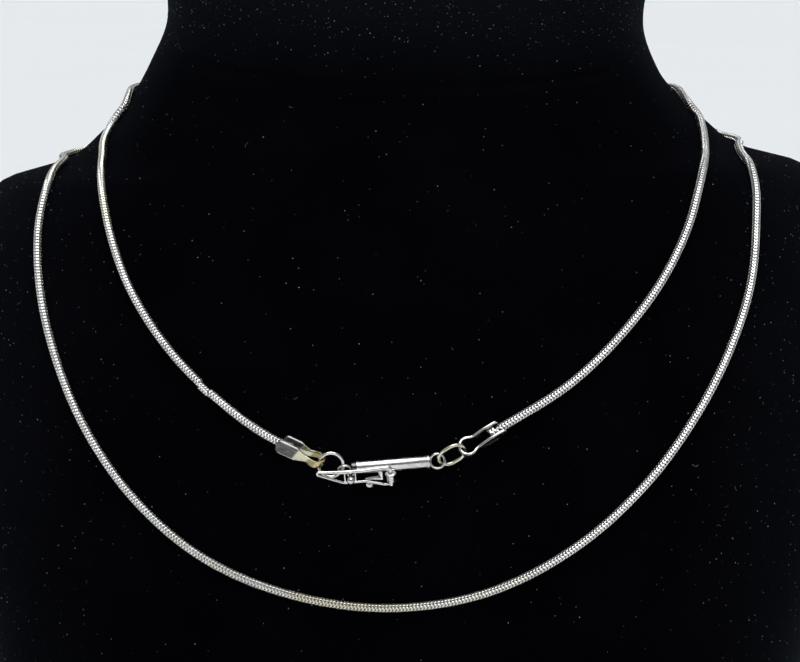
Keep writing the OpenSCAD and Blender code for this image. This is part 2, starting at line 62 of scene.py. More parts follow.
camera = bpy.data.objects.new("camera", bpy.data.cameras.new("camera"))
camera.data.lens = LENS
camera.data.clip_start = 0.05
camera.data.clip_end = 2 * FLOOR_SIZE
turn = Matrix.Rotation(math.pi / 2 - VIEW_DOWN, 4, "X")
place = VIEW_TARGET + turn @ Vector((0, 0, VIEW_DISTANCE))
camera.matrix_world = Matrix.Translation(place) @ turn @ Matrix.Rotation(VIEW_ROLL, 4, "Z")
bpy.context.collection.objects.link(camera)
bpy.context.scene.camera = camera
bpy.context.scene.view_settings.view_transform = "Standard"


def soft_box(name, spot, aim, size, power, colour=(1, 1, 1)):
    """A rectangular light at spot, in metres, turned towards aim."""
    light = bpy.data.lights.new(name, "AREA")
    light.shape = "RECTANGLE"
    light.size, light.size_y = size
    light.energy = power
    light.color = colour
    box = bpy.data.objects.new(name, light)
    towards = (Vector(aim) - Vector(spot)).to_track_quat("-Z", "Y")
    box.matrix_world = Matrix.Translation(spot) @ towards.to_matrix().to_4x4()
    box.visible_camera = False
    bpy.context.collection.objects.link(box)


soft_box("front_soft_box", (0, -0.75, 0.85), (0, -0.05, 0.10), (0.6, 0.3), 0.35)
soft_box("left_soft_box", (-0.75, -0.55, 0.35), (0, -0.05, 0.12), (0.5, 0.5), 0.12)
top_light = bpy.data.objects.new("top_light", bpy.data.lights.new("top_light", "SUN"))
top_light.data.energy = 2.2
top_light.data.angle = math.radians(50)
top_light.matrix_world = Matrix.Rotation(math.radians(18), 4, "X")
bpy.context.collection.objects.link(top_light)


class Port:
    """A socket of a node tree. Arithmetic on it adds Math nodes."""

    def __init__(self, socket):
        self.socket = socket
        self.tree = socket.id_data

    def node(self, kind, inputs=(), output=0, **settings):
        """Adds a node: its settings first, then its sockets' values and links."""
        made = self.tree.nodes.new(kind)
        for name, value in settings.items():
            setattr(made, name, value)
        for key, value in dict(inputs).items():
            if isinstance(value, Port):
                self.tree.links.new(value.socket, made.inputs[key])
            else:
                made.inputs[key].default_value = value
        return Port(made.outputs[output])

    def math(self, operation, *values):
        return self.node("ShaderNodeMath", enumerate(values), operation=operation)

    def __add__(self, other):
        return self.math("ADD", self, other)

    def __mul__(self, other):
        return self.math("MULTIPLY", self, other)

    def __sub__(self, other):
        return self.math("SUBTRACT", self, other)

    def __rsub__(self, other):
        return self.math("SUBTRACT", other, self)

    def __abs__(self):
        return self.math("ABSOLUTE", self)

    __radd__ = __add__
    __rmul__ = __mul__

    def band(self, low, high):
        """Rises smoothly from 0 at low to 1 at high, or falls where low is the larger."""
        return self.node("ShaderNodeMapRange", {"Value": self, "From Min": low, "From Max": high},
                         interpolation_type="SMOOTHSTEP")

    def mix(self, one, other):
        """The first colour where this value is 0, the second where it is 1."""
        return self.node("ShaderNodeMix", {0: self, 6: one, 7: other}, 2, data_type="RGBA")

    def noise(self, scale, detail=2):
        """Noise over these coordinates, with that many patches to a unit."""
        return self.node("ShaderNodeTexNoise", {"Vector": self, "Scale": scale, "Detail": detail})

    def stretched(self, factors):
        return self.node("ShaderNodeVectorMath", {0: self, 1: factors}, operation="MULTIPLY")

    def part(self, axis):
        return self.node("ShaderNodeSeparateXYZ", {0: self}, axis)

    def named(self, name, kind):
        """An attribute of the geometry, in a tree of geometry nodes."""
        return self.node("GeometryNodeInputNamedAttribute", {"Name": name}, "Attribute",
                         data_type=kind)


# The sky is brightest overhead and dim behind the camera
sky = bpy.data.worlds.new("pale_sky")
sky.use_nodes = True
backdrop = sky.node_tree.nodes["Background"]
way = Port(backdrop.inputs["Color"]).node("ShaderNodeTexCoord", output="Generated")
bright = way.part(2).band(0.1, 0.95) * 0.45 + way.part(1).band(-0.4, 0.7) * 0.3
sky.node_tree.links.new(bright.mix(DARK_SKY, SKY_COLOUR).socket, backdrop.inputs["Color"])
bpy.context.scene.world = sky


def new_material(name, **constants):
    """A material with its shader's fixed values set, the shader, and its object coordinates."""
    material = bpy.data.materials.new(name)
    material.use_nodes = True
    shader = material.node_tree.nodes["Principled BSDF"]
    for socket, value in constants.items():
        shader.inputs[socket.replace("_", " ")].default_value = value
    place = Port(shader.inputs[0]).node("ShaderNodeTexCoord", output="Object")
    return material, shader, place


def own_place(shader):
    """The piece's own coordinates, in millimetres, kept on its mesh."""
    return Port(shader.inputs[0]).node("ShaderNodeAttribute", (), "Vector", attribute_name="local")


def feed(shader, **fields):
    """Links what changes over the surface to the shader."""
    for socket, field in fields.items():
        field.tree.links.new(field.socket, shader.inputs[socket.replace("_", " ")])


def bumped(height, distance, strength=1):
    """The normal of a surface with that relief, its full height given in metres."""
    relief = {"Height": height, "Distance": distance, "Strength": strength}
    return height.node("ShaderNodeBump", relief, "Normal")


def new_object(name, points, faces, material=None):
    """An object with a mesh of these points, in millimetres, and faces."""
    mesh = bpy.data.meshes.new(name)
    mesh.from_pydata([tuple(p) for p in points], [], faces)
    made = bpy.data.objects.new(name, mesh)
    bpy.context.collection.objects.link(made)
    if material:
        mesh.materials.append(material)
    mesh.shade_smooth()
    return made


floor_paint, floor_shader, place = new_material("floor_paint", Roughness=0.7)
cloud = place.noise(1.5, 3)
feed(floor_shader, Base_Color=cloud.mix((0.755, 0.775, 0.79, 1), (0.79, 0.81, 0.825, 1)),
     Normal=bumped(place.noise(400), 0.0001, 0.3))
half_floor = FLOOR_SIZE / 2 / MM
floor_corners = [(x * half_floor, y * half_floor, 0) for x, y in ((-1, -1), (1, -1), (1, 1), (-1, 1))]
studio_floor = new_object("studio_floor", floor_corners, [(0, 1, 2, 3)], floor_paint)
studio_floor.data.transform(Matrix.Scale(MM, 4))

# ---- Neck bust --------------------------------------------------------------
# The display bust is one moulded form covered in black flocked velvet. A fold
# runs round the front where the neck meets the chest, and loose fibres of lint
# cling to the pile, most of all round the top of the neck.
BUST_HEIGHT = 220
BUST_WIDTH = 216
CHEST_DEPTH = 80
BACK_DEPTH = 48
EDGE_RADIUS = 5
# Sections from base to top: height, half width, front, back, squareness, lean
SECTIONS = [
    (0.000, 0.800, 0.900, 0.860, 2.6, 0.000),
    (0.120, 0.880, 0.960, 0.900, 2.5, 0.000),
    (0.280, 0.960, 1.000, 0.930, 2.4, 0.010),
    (0.420, 1.000, 0.970, 0.930, 2.3, 0.020),
    (0.540, 1.000, 0.895, 0.900, 2.2, 0.030),
    (0.630, 0.960, 0.810, 0.860, 2.1, 0.038),
    (0.685, 0.882, 0.745, 0.840, 2.0, 0.038),
    (0.706, 0.742, 0.722, 0.845, 2.0, 0.038),
    (0.735, 0.664, 0.690, 0.866, 2.0, 0.036),
    (0.765, 0.605, 0.650, 0.900, 2.0, 0.025),
    (0.800, 0.558, 0.625, 0.960, 2.0, 0.000),
    (0.850, 0.522, 0.610, 1.000, 2.0, 0.000),
    (0.920, 0.545, 0.630, 1.040, 2.0, 0.000),
    (1.000, 0.590, 0.670, 1.100, 2.0, 0.000),
]
BUST_SIDES = 192
EDGE_STEPS = 8
# Runs of mesh levels: first share of the height, step, count, finest at the fold
LEVEL_RUNS = [(0.024, 0.006, 124), (0.768, 0.0014, 48), (0.8365, 0.006, 24)]
PILE = 0.2
BARE_EDGE = 0.02
# The fold: its share of the height at the front and how much it rises by the
# angle after it, its depth and width, the lip below it, the angle at which it
# ends and the angle over which it fades, and the shares between which it lies
FOLD_SHARE = 0.784
FOLD_RISE = 0.026
FOLD_RISE_AT = 70
FOLD_DEPTH = 0.5
FOLD_WIDTH = 1.1
LIP_HEIGHT = 0.2
LIP_BELOW = 2.6
LIP_WIDTH = 1.3
FOLD_END = 80
FOLD_FADE = 25
FOLD_ZONE = (0.74, 0.86)
# Dust on the velvet: everywhere, more round the neck's top and at the sides,
# each with the share or distance where it starts and the stretch to its full amount
EVEN_DUST = 0.004
TOP_DUST, TOP_START, TOP_STRETCH = 0.040, 0.80, 0.05
SIDE_DUST, SIDE_START, SIDE_STRETCH = 0.012, 55, 30
ANGLE_NUDGE = 0.002
SHARE_NUDGE = 0.0005


def section_at(share):
    """Half width, front, back, squareness and lean of the bust at a share of its height."""
    last = len(SECTIONS) - 1
    i = max(k for k in range(last) if k == 0 or SECTIONS[k][0] <= share)

    def slope(k, column):
        a, b = SECTIONS[max(k - 1, 0)], SECTIONS[min(k + 1, last)]
        return (b[column] - a[column]) / (b[0] - a[0])

    span = SECTIONS[i + 1][0] - SECTIONS[i][0]
    t = (share - SECTIONS[i][0]) / span
    return [
        (2 * t**3 - 3 * t**2 + 1) * SECTIONS[i][column]
        + (t**3 - 2 * t**2 + t) * span * slope(i, column)
        + (3 * t**2 - 2 * t**3) * SECTIONS[i + 1][column]
        + (t**3 - t**2) * span * slope(i + 1, column)
        for column in range(1, 6)
    ]


BASE_MIDDLE = (section_at(0)[1] * CHEST_DEPTH - section_at(0)[2] * BACK_DEPTH) / 2


def bust_radius(angle, share, inset=0):
    """How far the bust stands from the middle of its base at that angle and share of its height."""
    width, front, back, square = section_at(share)[:4]
    a = width * BUST_WIDTH / 2 - inset
    b = (front * CHEST_DEPTH if math.cos(angle) > 0 else back * BACK_DEPTH) - inset
    return (abs(math.sin(angle) / a) ** square + abs(math.cos(angle) / b) ** square) ** (-1 / square)


def bust_point(angle, share, inset=0):
    """The point of the bust at an angle from the front, to the right, and a share of its height."""
    r = bust_radius(angle, share, inset)
    x = r * math.sin(angle)
    z = share * BUST_HEIGHT + section_at(share)[4] * x
    return Vector((x, BASE_MIDDLE - r * math.cos(angle), z))


def bust_normal(angle, share):
    """The way straight out of the bust."""
    across = bust_point(angle + ANGLE_NUDGE, share) - bust_point(angle - ANGLE_NUDGE, share)
    up = bust_point(angle, share + SHARE_NUDGE) - bust_point(angle, share - SHARE_NUDGE)
    return across.cross(up).normalized()


def on_bust(angle, share, off):
    """The point that far off the bust."""
    return bust_point(angle, share) + off * bust_normal(angle, share)


def rising(value, start, stretch):
    """0 up to the start, then evenly up to 1 over the stretch."""
    return max(0, min(1, (value - start) / stretch))


def fold_depth(angle, share):
    """How far the fold of the neck pulls the velvet in, with a low lip below it."""
    side = math.degrees((angle + math.pi) % (2 * math.pi) - math.pi)
    below = (FOLD_SHARE + FOLD_RISE * (side / FOLD_RISE_AT) ** 2 - share) * BUST_HEIGHT
    fade = rising(-abs(side), -FOLD_END, FOLD_FADE)
    groove = FOLD_DEPTH * math.exp(-(below / FOLD_WIDTH) ** 2)
    lip = LIP_HEIGHT * math.exp(-((below - LIP_BELOW) / LIP_WIDTH) ** 2)
    return fade * (groove - lip)


# Each level is a share of the height and how far the rounded edge stands in there
edge_angles = [k * math.pi / (2 * EDGE_STEPS) for k in range(EDGE_STEPS + 1)]
levels = [((1 - math.cos(a)) * EDGE_RADIUS / BUST_HEIGHT, (1 - math.sin(a)) * EDGE_RADIUS)
          for a in edge_angles]
for first, step, count in LEVEL_RUNS:
    levels += [(first + k * step, 0) for k in range(count)]
levels += [(1 - share, inset) for share, inset in reversed(levels[:EDGE_STEPS + 1])]
points, dust = [], []
for share, inset in levels:
    pile = PILE if BARE_EDGE < share < 1 - BARE_EDGE else 0
    folded = FOLD_ZONE[0] < share < FOLD_ZONE[1]
    for k in range(BUST_SIDES):
        angle = 2 * math.pi * k / BUST_SIDES
        point = bust_point(angle, share, inset)
        rise = pile - (fold_depth(angle, share) if folded else 0)
        if rise:
            point = point + rise * bust_normal(angle, share)
        points.append(point)
        near_top = rising(share, TOP_START, TOP_STRETCH)
        near_side = rising(abs(point.x), SIDE_START, SIDE_STRETCH)
        amount = EVEN_DUST + TOP_DUST * near_top + SIDE_DUST * near_side
        dust.append(0 if share < BARE_EDGE else amount)
faces = []
for j in range(len(levels) - 1):
    for k in range(BUST_SIDES):
        a, b = j * BUST_SIDES + k, j * BUST_SIDES + (k + 1) % BUST_SIDES
        faces.append((a, b, b + BUST_SIDES, a + BUST_SIDES))
rim_start = (len(levels) - 1) * BUST_SIDES
faces += [tuple(range(BUST_SIDES))[::-1], tuple(range(rim_start, rim_start + BUST_SIDES))]

black_velvet, velvet_shader, place = new_material(
    "black_velvet", Roughness=0.95, Specular_IOR_Level=0.01,
    Sheen_Weight=0.031, Sheen_Roughness=0.28, Sheen_Tint=(0.50, 0.66, 0.95, 1))
brushed = place.noise(45, 3)
tufts = place.noise(2600, 2)
# Painted sheen: the pile is painted lighter and bluer towards the top of the neck and towards both
# sides, where light grazes it, and a little lighter in random brushed patches of real pile.
height = place.part(2)
outer = abs(place.part(0)).band(0.055, 0.105)
tone_shift = height.band(0.168, 0.200) * 0.85 + outer * 0.36 + brushed.band(0.3, 0.8) * 0.12
pile_colour = tone_shift.mix((0.0005, 0.0005, 0.0013, 1), (0.0066, 0.0074, 0.0098, 1))
feed(velvet_shader,
     Base_Color=(tufts.band(0.35, 0.75) * 0.35).mix(pile_colour, (0.0016, 0.0016, 0.0022, 1)),
     Normal=bumped(tufts + 0.6 * place.noise(900), 0.00025, 0.8))
neck_bust = new_object("velvet_neck_bust", points, faces, black_velvet)
neck_bust.data.attributes.new("dust", "FLOAT", "POINT").data.foreach_set("value", dust)


def place_piece(piece, body, slot, *nodes):
    """Scales a finished mesh to metres, attaches it to its body and hides the nodes it stands for; the
    slot, its finish, is not used.
    """
    piece.data.transform(Matrix.Scale(MM, 4))
    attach(piece, body)
    if nodes:
        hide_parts(*nodes)


class GeometryTree:
    """A Geometry Nodes tree with named inputs, and what one object makes of it."""

    kinds = {float: "NodeSocketFloat", int: "NodeSocketInt", bpy.types.Object: "NodeSocketObject",
             bpy.types.Material: "NodeSocketMaterial"}

    def __init__(self, name, **inputs):
        self.group = bpy.data.node_groups.new(name, "GeometryNodeTree")
        sockets = self.group.interface
        sockets.new_socket("Geometry", in_out="INPUT", socket_type="NodeSocketGeometry")
        for label, kind in inputs.items():
            sockets.new_socket(label, in_out="INPUT", socket_type=self.kinds[kind])
        sockets.new_socket("Geometry", in_out="OUTPUT", socket_type="NodeSocketGeometry")
        given = self.group.nodes.new("NodeGroupInput").outputs
        self.inputs = {socket.name: Port(socket) for socket in given if socket.name}

    def ends_in(self, geometry, material):
        """Realizes the instances, gives them their material and closes the tree."""
        real = geometry.node("GeometryNodeRealizeInstances", {"Geometry": geometry})
        dressed = real.node("GeometryNodeSetMaterial", {"Geometry": real, "Material": material})
        out = self.group.nodes.new("NodeGroupOutput")
        self.group.links.new(dressed.socket, out.inputs["Geometry"])

    def applied_to(self, piece, **values):
        """Runs the tree on an object and leaves the result as its plain mesh."""
        modifier = piece.modifiers.new(self.group.name, "NODES")
        modifier.node_group = self.group
        for item in self.group.interface.items_tree:
            if item.in_out == "INPUT" and item.name in values:
                modifier[item.identifier] = values[item.name]
        keep_result(piece)
        return piece


def keep_result(piece):
    """Works out an object's modifiers and keeps the result as its plain mesh."""
    bpy.context.view_layer.update()
    evaluated = piece.evaluated_get(bpy.context.evaluated_depsgraph_get())
    result = bpy.data.meshes.new_from_object(evaluated)
    piece.modifiers.clear()
    piece.data = result
    result.name = piece.name


lint_fibre, lint_shader, place = new_material("pale_lint", Roughness=0.8)
paler = place.noise(300, 1).band(0.3, 0.7)
feed(lint_shader, Base_Color=paler.mix((0.02, 0.022, 0.028, 1), (0.30, 0.31, 0.34, 1)))

# A strand is a curled three-sided thread, bent over that angle and rising slowly
LINT_LENGTH = 1.1
LINT_THICKNESS = 0.04
LINT_RISE = 0.02
LINT_CURL = 140
LINT_STEPS = 5
SPECK_SIZE = 0.16
LINT_SIZES = (0.3, 1.15)
LINT_TURNS = (0.3, 0.3, 3.1)
strand = []
for k in range(LINT_STEPS + 1):
    a = math.radians(LINT_CURL * (k / LINT_STEPS - 0.5))
    centre = Vector((LINT_LENGTH / 2 * math.sin(a), LINT_LENGTH / 3 * math.cos(a), LINT_RISE * k))
    for j in range(3):
        b = 2 * math.pi * j / 3
        side = Vector((math.cos(b) * math.sin(a), math.cos(b) * math.cos(a), math.sin(b)))
        strand.append(centre + LINT_THICKNESS / 2 * side)
strand_faces = [
    (3 * k + j, 3 * k + 3 + j, 3 * k + 3 + (j + 1) % 3, 3 * k + (j + 1) % 3)
    for k in range(LINT_STEPS) for j in range(3)
]
strand_faces += [(0, 1, 2), (3 * LINT_STEPS + 2, 3 * LINT_STEPS + 1, 3 * LINT_STEPS)]
lint_strand = new_object("lint_strand", strand, strand_faces)
speck = ((1, 0, 0), (0, 0.7, 0.1), (-1.2, 0, 0), (0, -0.6, 0), (0, 0, 0.5), (0, 0, -0.3))
speck_faces = [(k, (k + 1) % 4, 4) for k in range(4)] + [((k + 1) % 4, k, 5) for k in range(4)]
lint_speck = new_object("lint_speck", [SPECK_SIZE * Vector(c) for c in speck], speck_faces)

scattering = GeometryTree("scattered_lint", Fibre=bpy.types.Object, Amount=float, Seed=int,
                          Material=bpy.types.Material)
given = scattering.inputs
velvet = given["Geometry"]
density = velvet.named("dust", "FLOAT") * given["Amount"]
spread = velvet.node("GeometryNodeDistributePointsOnFaces",
                     {"Mesh": velvet, "Density": density, "Seed": given["Seed"]}, "Points")
facing = Port(spread.socket.node.outputs["Rotation"])
spin = velvet.node("FunctionNodeRandomValue",
                   {"Seed": given["Seed"], 0: [-turn for turn in LINT_TURNS], 1: LINT_TURNS},
                   data_type="FLOAT_VECTOR")
turned = velvet.node("FunctionNodeRotateRotation", {"Rotation": facing, "Rotate By": spin},
                     rotation_space="LOCAL")
growth = velvet.node("FunctionNodeRandomValue",
                     {"Seed": given["Seed"], 2: LINT_SIZES[0], 3: LINT_SIZES[1]}, 1,
                     data_type="FLOAT")
fibre = velvet.node("GeometryNodeObjectInfo", {"Object": given["Fibre"]}, "Geometry")
laid = velvet.node("GeometryNodeInstanceOnPoints",
                   {"Points": spread, "Instance": fibre, "Rotation": turned, "Scale": growth * growth})
scattering.ends_in(laid, given["Material"])
lint = []
# Strands are few and specks are many: name, shape, amount and seed of each
for name, shape, amount, seed in (("lint_on_velvet", lint_strand, 0.5, 11),
                                  ("dust_on_velvet", lint_speck, 9.0, 23)):
    piece = new_object(name, [], [])
    piece.data = neck_bust.data.copy()
    lint.append(scattering.applied_to(piece, Fibre=shape, Amount=amount, Seed=seed,
                                      Material=lint_fibre))
    bpy.data.objects.remove(shape)
place_piece(neck_bust, "body", "velvet", "neck_bust")
for piece in lint:
    place_piece(piece, "body", "velvet")

# ---- Barrel of the clasp ----------------------------------------------------
# A drawn silver tube with a turned collar at each end, closed on the right by a
# disc with a soldered wire loop. The knuckle of the safety catch is soldered
# below it, and a slot on the lower side lets the press lever in.
CHAIN_D = 1.95
CHAIN_GAP = 0.55
CLASP_X = -8.9
CLASP_SHARE = 0.4102
CLASP_LIFT = 0.7
CLASP_TURN = math.radians(5.7)
BARREL_R = 1.425
BARREL_LENGTH = 16
FIT_CLEAR = 0.12
SOLDER = 0.12
ANGLE_ROUNDS = 9
BARREL_EDGE = 0.05
MERGE_DISTANCE = 0.0005
FLAT_ANGLE = math.radians(1)
BEVEL_ANGLE = math.radians(38)
SHARP_ANGLE = math.radians(40)
BRIGHT_SILVER = (0.84, 0.83, 0.81, 1)
DULL_SILVER = (0.44, 0.43, 0.41, 1)
WORN_DENTS = 0.000012


def frame_of(origin, x, y, z):
    """The 4x4 frame with these unit axes."""
    frame_axes = Matrix((x, y, z)).transposed().to_4x4()
    return Matrix.Translation(origin) @ frame_axes


def frame_x(origin, x_way, z_hint):
    """The frame whose x runs that way and whose z is as near to the hint as it can be."""
    x = x_way.normalized()
    y = z_hint.cross(x).normalized()
    return frame_of(origin, x, y, x.cross(y))


def angle_at(x, share):
    """The angle at which the bust is that far from its middle line."""
    r = section_at(share)[1] * CHEST_DEPTH
    for k in range(ANGLE_ROUNDS):
        angle = math.asin(x / r)
        r = bust_radius(angle, share)
    return angle


chest_out = bust_normal(0, CLASP_SHARE)
chest_up = chest_out.cross(Vector((1, 0, 0))).normalized()
clasp_frame = frame_of(
    on_bust(angle_at(CLASP_X, CLASP_SHARE), CLASP_SHARE, CLASP_LIFT + BARREL_R),
    chest_up.cross(chest_out), chest_up, chest_out) @ Matrix.Rotation(CLASP_TURN, 4, "Z")


def smudges(place):
    """Soft finger marks on the polish."""
    return place.noise(420, 3).band(0.35, 0.7)


def silver(name, bright=BRIGHT_SILVER, dull=DULL_SILVER, rough=(0.13, 0.32), grain=(1, 1, 1)):
    """Worn polished silver with soft smudges, finer streaks along the grain and tiny dents."""
    material, shader, place = new_material(name, Metallic=1.0)
    smudge = smudges(place)
    streak = place.stretched(grain).noise(2600, 2)
    feed(shader,
         Base_Color=(smudge * 0.45 + streak.band(0.5, 0.8) * 0.25).mix(bright, dull),
         Roughness=smudge * (rough[1] - rough[0]) + rough[0],
         Normal=bumped(streak + place.noise(700) * 2, WORN_DENTS))
    return material


def rounded_copy(node, name, edge, material, shape_frame):
    """A merged copy of a CAD node, in millimetres, with rounded edges and its own coordinates."""
    shape = bmesh.new()
    shape.from_mesh(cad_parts[node].data)
    bmesh.ops.transform(shape, matrix=Matrix.Scale(1 / MM, 4), verts=shape.verts)
    bmesh.ops.remove_doubles(shape, verts=shape.verts, dist=MERGE_DISTANCE)
    bmesh.ops.dissolve_limit(shape, angle_limit=FLAT_ANGLE, verts=shape.verts, edges=shape.edges)
    piece = new_object(name, [], [], material)
    shape.to_mesh(piece.data)
    shape.free()
    bevel = piece.modifiers.new("rounded_edges", "BEVEL")
    bevel.width = edge
    bevel.segments = 2
    bevel.limit_method = "ANGLE"
    bevel.angle_limit = BEVEL_ANGLE
    keep_result(piece)
    finish_shading(piece, shape_frame)
    return piece


def finish_shading(piece, shape_frame):
    """Smooth shading with crisp corners, and the piece's own coordinates as an attribute."""
    piece.data.shade_smooth()
    piece.data.set_sharp_from_angle(angle=SHARP_ANGLE)
    inverse = shape_frame.inverted()
    local = [c for v in piece.data.vertices for c in inverse @ v.co]
    piece.data.attributes.new("local", "FLOAT_VECTOR", "POINT").data.foreach_set("vector", local)


barrel_silver = silver("barrel_silver", rough=(0.16, 0.32), grain=(0.1, 1, 1))
barrel = rounded_copy("clasp_barrel", "clasp_barrel_tube", BARREL_EDGE, barrel_silver, clasp_frame)
place_piece(barrel, "body", "polished_silver", "clasp_barrel")

# ---- Tongue of the clasp ----------------------------------------------------
# A disc with a soldered loop, a folded spring blade inside the barrel and the
# press lever with its ball. The ball stud that the safety catch snaps over is
# soldered to the disc.
TONGUE_EDGE = 0.04
tongue_silver, shader, place = new_material("tongue_silver", Metallic=1.0)
own = own_place(shader)
smudge = smudges(place)
plain_silver = (smudge * 0.6).mix(BRIGHT_SILVER, DULL_SILVER)
# Painted shade: the face of the disc is painted nearly black, as it lies in shadow and mirrors the
# black velvet.
across = own.part(0).band(-1.25, -1.1) * own.part(0).band(0.1, -0.05)
disc_shade = across * own.part(1).band(-1.6, -1.2)
feed(shader,
     Base_Color=(disc_shade * 0.9).mix(plain_silver, (0.05, 0.048, 0.045, 1)),
     Roughness=smudge * 0.19 + 0.13,
     Normal=bumped(place.noise(2600, 2) + place.noise(700) * 2, WORN_DENTS))
tongue = rounded_copy("clasp_tongue", "clasp_tongue_spring", TONGUE_EDGE, tongue_silver, clasp_frame)
place_piece(tongue, "body", "polished_silver", "clasp_tongue")

# ---- Safety catch -----------------------------------------------------------
# Two arms of round wire are bent from the hinge pins to a common tip and
# pinched at the waist. Two thin bars are soldered across them, so the front
# opening of the figure of eight fits over the ball stud.
CATCH_LENGTH = 16.25
CATCH_WIDTH = 2.66
CATCH_WIRE = 0.88
CATCH_THIN_WIRE = 0.62
CATCH_TILT = math.radians(30)
CATCH_CLEAR = 0.12
COLLAR_GROW = 0.08
KNUCKLE_X = 7.3
KNUCKLE_LENGTH = 2.1
KNUCKLE_GAP = 0.7
KNUCKLE_DROP = KNUCKLE_LENGTH / 2 + KNUCKLE_GAP
KNUCKLE_TO_STUD = 1.45
STUD_REACH = 1.45
STUD_BALL_D = 1.74
BALL_CLEAR = 0.08
BAR_WIRE = 0.4
TIP_WIRE = 0.56
TIP_R = 0.3
TIP_GAP = 0.68
TIP_STEP = 0.5
WAIST_START = 5.6
LOW_RISE = -0.63
ARM_STEP = 0.3
TOP_STRUT_IN = 0.75
FOOT_GAP = 0.45
FOOT_START, FOOT_END, FOOT_BEND = 0.15, 1.5, 1.2
PIN_START = 0.35
PIN_PLAY = 0.08

catch_off = BARREL_R + COLLAR_GROW + CATCH_WIRE / 2 + CATCH_CLEAR
hinge_up = Vector((0, math.cos(CATCH_TILT), math.sin(CATCH_TILT)))
catch_out = Vector((0, -math.sin(CATCH_TILT), math.cos(CATCH_TILT)))
hinge = Vector((KNUCKLE_X, 0, 0)) + catch_off * catch_out - KNUCKLE_DROP * hinge_up
catch_frame = clasp_frame @ frame_x(hinge, Vector((-1, 0, 0)), -catch_out)

drawing = GeometryTree("drawn_wire", Sides=int, Material=bpy.types.Material)
given = drawing.inputs
line = given["Geometry"].node("GeometryNodeMeshToCurve", {"Mesh": given["Geometry"]})
profile = line.node("GeometryNodeCurvePrimitiveCircle", {"Resolution": given["Sides"], "Radius": 1.0})
drawn = line.node("GeometryNodeCurveToMesh",
                  {"Curve": line, "Profile Curve": profile, "Scale": line.named("wire", "FLOAT"),
                   "Fill Caps": True})
drawing.ends_in(drawn, given["Material"])


def drawn_wire(name, lines, material, sides=16):
    """Round wires along lines of rows (point, diameter), closed where a line ends at its start."""
    piece = bpy.data.objects.new(name, bpy.data.meshes.new(name))
    bpy.context.collection.objects.link(piece)
    points, edges, radii = [], [], []
    for rows in lines:
        closed = (rows[0][0] - rows[-1][0]).length < 1e-4
        rows = rows[:-1] if closed else rows
        first = len(points)
        points += [tuple(p) for p, d in rows]
        radii += [d / 2 for p, d in rows]
        edges += [(first + k, first + k + 1) for k in range(len(rows) - 1)]
        edges += [(first + len(rows) - 1, first)] if closed else []
    piece.data.from_pydata(points, edges, [])
    piece.data.attributes.new("wire", "FLOAT", "POINT").data.foreach_set("value", radii)
    drawing.applied_to(piece, Sides=sides, Material=material)
    return piece


def bent_line(corners, step=7):
    """Rows along a flat bent line, from corners (x, y, bending radius, wire's diameter)."""
    spots = [Vector((c[0], c[1], 0)) for c in corners]
    rows = [(spots[0], corners[0][3])]
    for i in range(1, len(corners) - 1):
        back = (spots[i] - spots[i - 1]).normalized()
        on = (spots[i + 1] - spots[i]).normalized()
        turn = back.angle(on)
        left = Vector((-back.y, back.x, 0))
        side = 1 if left.dot(on) > 0 else -1
        r = corners[i][2]
        centre = spots[i] - r * math.tan(turn / 2) * back + side * r * left
        steps = max(2, math.ceil(math.degrees(turn) / step))
        for k in range(steps + 1):
            a = k * turn / steps
            point = centre + r * (math.sin(a) * back - side * math.cos(a) * left)
            rows.append((point, corners[i][3]))
    rows.append((spots[-1], corners[-1][3]))
    return rows


high_rise = LOW_RISE + CATCH_WIDTH
bottom_rise = -KNUCKLE_LENGTH / 2 - FOOT_GAP - CATCH_THIN_WIRE / 2
stud_along = KNUCKLE_X + KNUCKLE_TO_STUD
opening_along = math.hypot(stud_along, STUD_REACH)
opening_half = STUD_BALL_D / 2 + BALL_CLEAR + BAR_WIRE / 2
tip_x = CATCH_LENGTH - TIP_WIRE / 2
tip_rise = high_rise + TIP_STEP
open_end = opening_along + opening_half + ARM_STEP
arms = bent_line([
    (0, KNUCKLE_LENGTH / 2 + FIT_CLEAR, 0, CATCH_WIRE),
    (0, high_rise + ARM_STEP, TOP_STRUT_IN, CATCH_WIRE),
    (WAIST_START / 2, high_rise + 0.2, 2, CATCH_WIRE),
    (WAIST_START, high_rise, 3, CATCH_WIRE),
    (open_end, high_rise, 4, CATCH_WIRE),
    (tip_x, tip_rise, TIP_R, TIP_WIRE),
    (tip_x, tip_rise - TIP_GAP, TIP_R, TIP_WIRE),
    (open_end, LOW_RISE, 2, CATCH_THIN_WIRE),
    (WAIST_START, LOW_RISE, 2, CATCH_THIN_WIRE),
    (FOOT_END, bottom_rise, FOOT_BEND, CATCH_THIN_WIRE),
    (FOOT_START, bottom_rise, 0, CATCH_THIN_WIRE),
])


def upright(x, low, high, diameter):
    """A straight wire of the catch, across its length."""
    return [(Vector((x, low, 0)), diameter), (Vector((x, high, 0)), diameter)]


pin_d = CATCH_WIRE - PIN_PLAY
pins = [
    upright(0, PIN_START, KNUCKLE_LENGTH / 2 + 4 * FIT_CLEAR, pin_d),
    upright(0, bottom_rise - CATCH_THIN_WIRE / 2, -PIN_START, pin_d),
]
bars = [
    upright(opening_along + side * opening_half, LOW_RISE, high_rise, BAR_WIRE)
    for side in (-1, 1)
]
catch_silver = silver("catch_silver")
catch = drawn_wire("safety_catch_wire", [arms, *pins, *bars], catch_silver)
catch.data.transform(catch_frame)
finish_shading(catch, catch_frame)
place_piece(catch, "catch", "polished_silver", "safety_catch")

